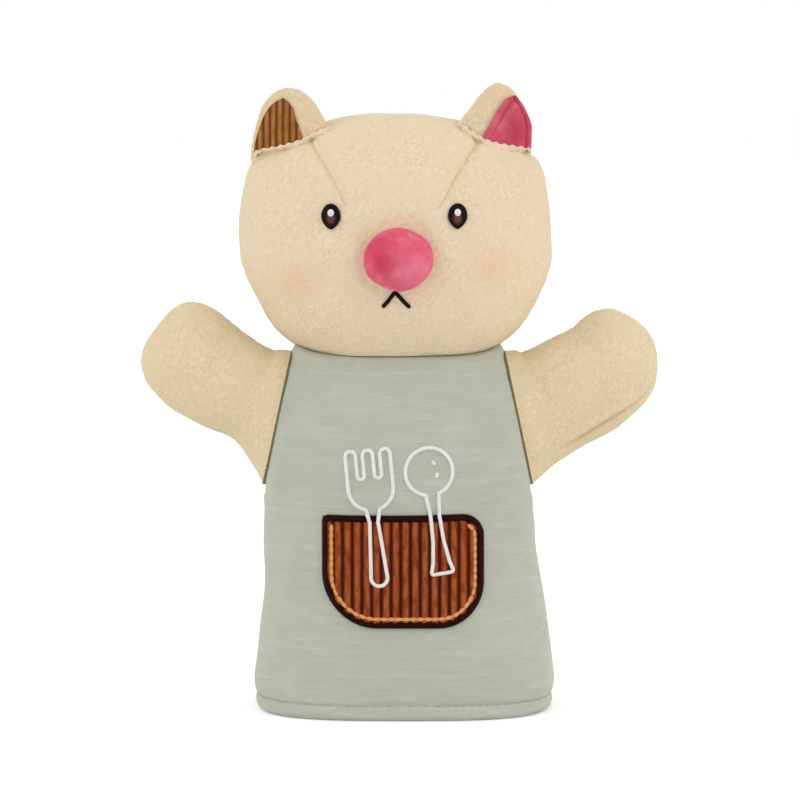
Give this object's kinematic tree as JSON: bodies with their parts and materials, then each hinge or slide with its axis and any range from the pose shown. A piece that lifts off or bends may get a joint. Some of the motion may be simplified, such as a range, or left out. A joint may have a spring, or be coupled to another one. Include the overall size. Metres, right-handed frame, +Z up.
{
  "type": "hand puppet",
  "caption": "Plush animal hand puppet with a stuffed head, round ears, a flared smock with a patch pocket, and sleeve arms for thumb and finger.",
  "frame": {"origin": "on the surface it stands on, under the middle of its outer box", "axes": "+Z up through the neck, -Y the way the face looks, +X towards the arm on the right of the picture"},
  "size_m": [0.2028, 0.0968, 0.2441],
  "materials": {
    "jersey": "heathered knit",
    "terry": "looped pile",
    "corduroy": "ribbed pile",
    "velour": "short pile",
    "dark_thread": "satin stitch",
    "tan_thread": "running stitch",
    "white_thread": "satin stitch",
    "fibre_fill": "loose fibre",
    "lining": "plain weave"
  },
  "bodies": {
    "body": {"body_front": "jersey", "body_back": "jersey", "hem_facing": "jersey", "pocket_patch": "corduroy", "pocket_edging": "dark_thread", "pocket_topstitch": "tan_thread", "fork_embroidery": "white_thread", "spoon_embroidery": "white_thread"},
    "neck": {"neck_sleeve": "jersey"},
    "head": {"face_panel": "terry", "head_back": "terry", "head_stuffing": "fibre_fill", "finger_pocket": "lining", "left_ear_back": "terry", "left_ear_lining": "corduroy", "right_ear_back": "terry", "right_ear_lining": "velour", "nose_cover": "velour", "nose_stuffing": "fibre_fill", "left_eye": "dark_thread", "right_eye": "dark_thread", "left_eye_glint": "white_thread", "right_eye_glint": "white_thread", "mouth_stitch": "dark_thread"},
    "left_shoulder": {"left_sleeve_root": "terry"},
    "left_arm": {"left_arm_front": "terry", "left_arm_back": "terry"},
    "right_shoulder": {"right_sleeve_root": "terry"},
    "right_arm": {"right_arm_front": "terry", "right_arm_back": "terry"}
  },
  "joints": [
    {"name": "head_nod", "type": "hinge", "parent": "body", "child": "neck", "pos_m": [0, 0, 0.1355], "axis": [1, 0, 0], "range_deg": [-15, 20], "stiffness_Nm_per_rad": 0.3, "deforming": ["neck_sleeve"]},
    {"name": "head_turn", "type": "hinge", "parent": "neck", "child": "head", "pos_m": [0, 0, 0.1355], "axis": [0, 0, 1], "range_deg": [-25, 25], "stiffness_Nm_per_rad": 0.06},
    {"name": "left_arm_swing", "type": "hinge", "parent": "body", "child": "left_shoulder", "pos_m": [-0.05527, 0, 0.11824], "axis": [0.2092, 0, 0.9779], "range_deg": [-15, 45], "stiffness_Nm_per_rad": 0.05, "deforming": ["left_sleeve_root"]},
    {"name": "left_arm_lift", "type": "hinge", "parent": "left_shoulder", "child": "left_arm", "pos_m": [-0.05527, 0, 0.11824], "axis": [0, 1, 0], "range_deg": [-40, 5], "stiffness_Nm_per_rad": 0.06},
    {"name": "right_arm_swing", "type": "hinge", "parent": "body", "child": "right_shoulder", "pos_m": [0.05527, 0, 0.11824], "axis": [0.2092, 0, -0.9779], "range_deg": [-15, 45], "stiffness_Nm_per_rad": 0.05, "deforming": ["right_sleeve_root"]},
    {"name": "right_arm_lift", "type": "hinge", "parent": "right_shoulder", "child": "right_arm", "pos_m": [0.05527, 0, 0.11824], "axis": [0, -1, 0], "range_deg": [-40, 5], "stiffness_Nm_per_rad": 0.06}
  ]
}
